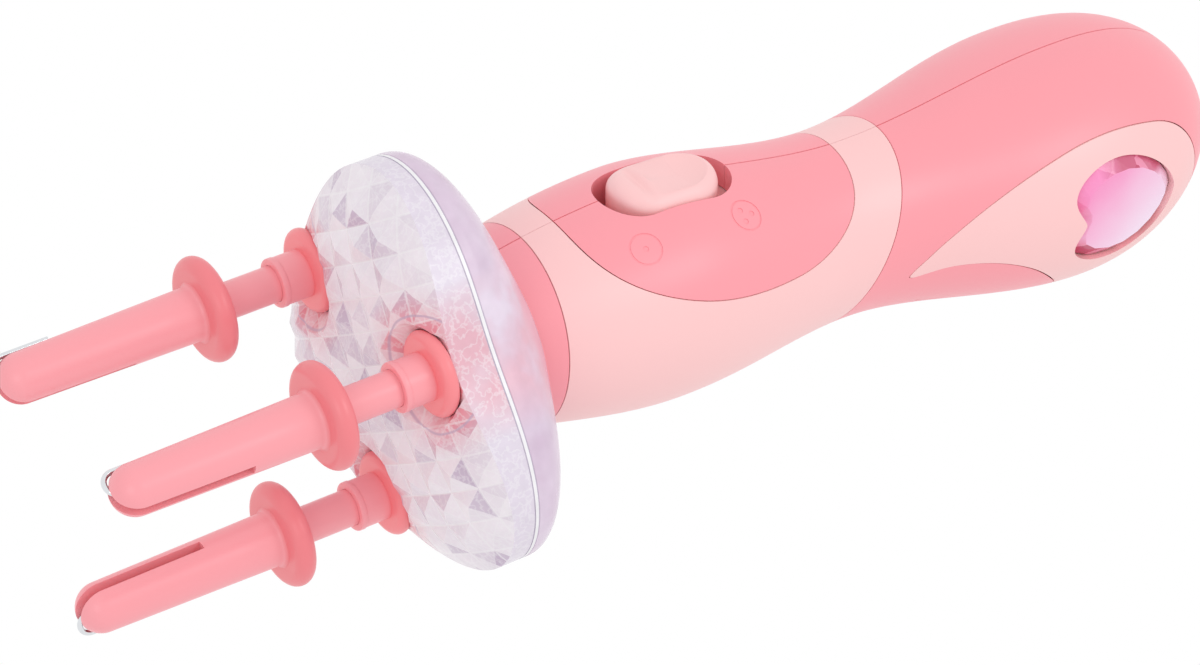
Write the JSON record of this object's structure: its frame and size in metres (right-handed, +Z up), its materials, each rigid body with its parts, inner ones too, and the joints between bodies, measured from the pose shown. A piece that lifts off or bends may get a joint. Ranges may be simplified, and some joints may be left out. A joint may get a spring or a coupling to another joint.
{
  "type": "automatic hair braider",
  "caption": "Hand-held hair braider with a battery handle, slide switch, turning clear faceted head and sprung slotted prongs with wire hooks.",
  "frame": {"origin": "on the axis that the head turns about, in the plane of the prongs' base flanges", "axes": "+X along the head's axis towards the butt of the handle, +Z up through the switch, -Y the side that the picture shows"},
  "size_m": [0.2795, 0.0864, 0.0854],
  "materials": {
    "hot_pink": "satin",
    "coral_pink": "satin",
    "pale_pink": "satin",
    "clear_lilac": "polished",
    "pink_gem": "polished",
    "natural_nylon": "satin",
    "bright_steel": "bright",
    "chrome_wire": "polished",
    "brass": "satin",
    "dark_plastic": "satin",
    "cell_jacket": "satin",
    "white_plastic": "satin"
  },
  "bodies": {
    "handle": {"left_case": "hot_pink", "right_case": "hot_pink", "left_grip_panel": "pale_pink", "right_grip_panel": "pale_pink", "left_gem_panel": "pale_pink", "right_gem_panel": "pale_pink", "left_gem": "pink_gem", "right_gem": "pink_gem", "case_screws": "bright_steel", "switch_body": "dark_plastic", "switch_screws": "bright_steel", "battery_tray": "natural_nylon", "battery_cells": "cell_jacket", "contact_plates": "bright_steel", "contact_springs": "bright_steel", "neck_bush": "natural_nylon", "front_plate": "natural_nylon", "rear_plate": "natural_nylon", "plate_spacers": "bright_steel", "motor_can": "bright_steel", "motor_cap": "white_plastic", "motor_screws": "bright_steel"},
    "head": {"rear_cover": "clear_lilac", "front_dome": "clear_lilac", "head_retainer": "bright_steel"},
    "sun": {"sun_gear": "natural_nylon", "output_shaft": "bright_steel", "output_gear": "natural_nylon"},
    "far_prong": {"far_spindle": "coral_pink", "far_hook": "chrome_wire", "far_clip": "bright_steel", "far_spring": "bright_steel"},
    "far_barrel": {"far_sleeve": "coral_pink"},
    "near_prong": {"near_spindle": "coral_pink", "near_hook": "chrome_wire", "near_clip": "bright_steel", "near_spring": "bright_steel"},
    "near_barrel": {"near_sleeve": "coral_pink"},
    "low_prong": {"low_spindle": "coral_pink", "low_hook": "chrome_wire", "low_clip": "bright_steel", "low_spring": "bright_steel"},
    "low_barrel": {"low_sleeve": "coral_pink"},
    "switch": {"switch_button": "pale_pink"},
    "door": {"battery_door": "hot_pink"},
    "door_screw": {"door_screw": "bright_steel"},
    "first_arbor": {"first_arbor": "bright_steel"},
    "first_gear": {"first_gear": "natural_nylon"},
    "second_arbor": {"second_arbor": "bright_steel"},
    "second_gear": {"second_gear": "natural_nylon"},
    "motor_bush": {"motor_bush": "brass"},
    "motor_rotor": {"motor_shaft": "bright_steel", "motor_pinion": "brass"}
  },
  "joints": [
    {"name": "head_spin", "type": "hinge", "parent": "handle", "child": "head", "pos_m": [0, 0, 0], "axis": [1, 0, 0], "continuous": true},
    {"name": "sun_spin", "type": "hinge", "parent": "head", "child": "sun", "pos_m": [0, 0, 0], "axis": [1, 0, 0], "continuous": true},
    {"name": "far_prong_spin", "type": "hinge", "parent": "head", "child": "far_prong", "pos_m": [0, 0.02548, 0.01161], "axis": [1, 0, 0], "continuous": true},
    {"name": "near_prong_spin", "type": "hinge", "parent": "head", "child": "near_prong", "pos_m": [0, -0.0228, 0.01626], "axis": [1, 0, 0], "continuous": true},
    {"name": "low_prong_spin", "type": "hinge", "parent": "head", "child": "low_prong", "pos_m": [0, -0.00268, -0.02787], "axis": [1, 0, 0], "continuous": true},
    {"name": "far_barrel_slide", "type": "slide", "parent": "far_prong", "child": "far_barrel", "axis": [1, 0, 0], "range_m": [0, 0.006], "stiffness_N_per_m": 160, "springref_m": -0.004, "deforming": ["far_spring"]},
    {"name": "near_barrel_slide", "type": "slide", "parent": "near_prong", "child": "near_barrel", "axis": [1, 0, 0], "range_m": [0, 0.006], "stiffness_N_per_m": 160, "springref_m": -0.004, "deforming": ["near_spring"]},
    {"name": "low_barrel_slide", "type": "slide", "parent": "low_prong", "child": "low_barrel", "axis": [1, 0, 0], "range_m": [0, 0.006], "stiffness_N_per_m": 160, "springref_m": -0.004, "deforming": ["low_spring"]},
    {"name": "switch_slide", "type": "slide", "parent": "handle", "child": "switch", "axis": [1, 0, 0], "range_m": [-0.003, 0.003]},
    {"name": "door_lift", "type": "slide", "parent": "handle", "child": "door", "axis": [0, 0, -1], "range_m": [0, 0.03]},
    {"name": "door_screw_turn", "type": "hinge", "parent": "door", "child": "door_screw", "pos_m": [0.179, 0, 0], "axis": [0, 0, 1], "continuous": true},
    {"name": "first_arbor_turn", "type": "hinge", "parent": "handle", "child": "first_arbor", "pos_m": [0, -0.00856, -0.00827], "axis": [1, 0, 0], "continuous": true},
    {"name": "first_gear_turn", "type": "hinge", "parent": "first_arbor", "child": "first_gear", "pos_m": [0, -0.00856, -0.00827], "axis": [1, 0, 0], "continuous": true},
    {"name": "second_arbor_turn", "type": "hinge", "parent": "handle", "child": "second_arbor", "pos_m": [0, 0.00322, -0.00992], "axis": [1, 0, 0], "continuous": true},
    {"name": "second_gear_turn", "type": "hinge", "parent": "second_arbor", "child": "second_gear", "pos_m": [0, 0.00322, -0.00992], "axis": [1, 0, 0], "continuous": true},
    {"name": "motor_bush_turn", "type": "hinge", "parent": "handle", "child": "motor_bush", "pos_m": [0, -0.00218, 0.00068], "axis": [1, 0, 0], "continuous": true},
    {"name": "motor_rotor_turn", "type": "hinge", "parent": "motor_bush", "child": "motor_rotor", "pos_m": [0, -0.00218, 0.00068], "axis": [1, 0, 0], "continuous": true}
  ],
  "couplings": [
    {"joint": "far_prong_spin", "follows": "sun_spin", "ratio": -5.25},
    {"joint": "near_prong_spin", "follows": "sun_spin", "ratio": -5.25},
    {"joint": "low_prong_spin", "follows": "sun_spin", "ratio": -5.25},
    {"joint": "first_arbor_turn", "follows": "head_spin", "ratio": -2.4},
    {"joint": "first_gear_turn", "follows": "sun_spin", "ratio": -2.4},
    {"joint": "second_arbor_turn", "follows": "head_spin", "ratio": 5.76},
    {"joint": "second_gear_turn", "follows": "sun_spin", "ratio": 5.76},
    {"joint": "motor_bush_turn", "follows": "head_spin", "ratio": -13.824},
    {"joint": "motor_rotor_turn", "follows": "sun_spin", "ratio": -13.824}
  ]
}
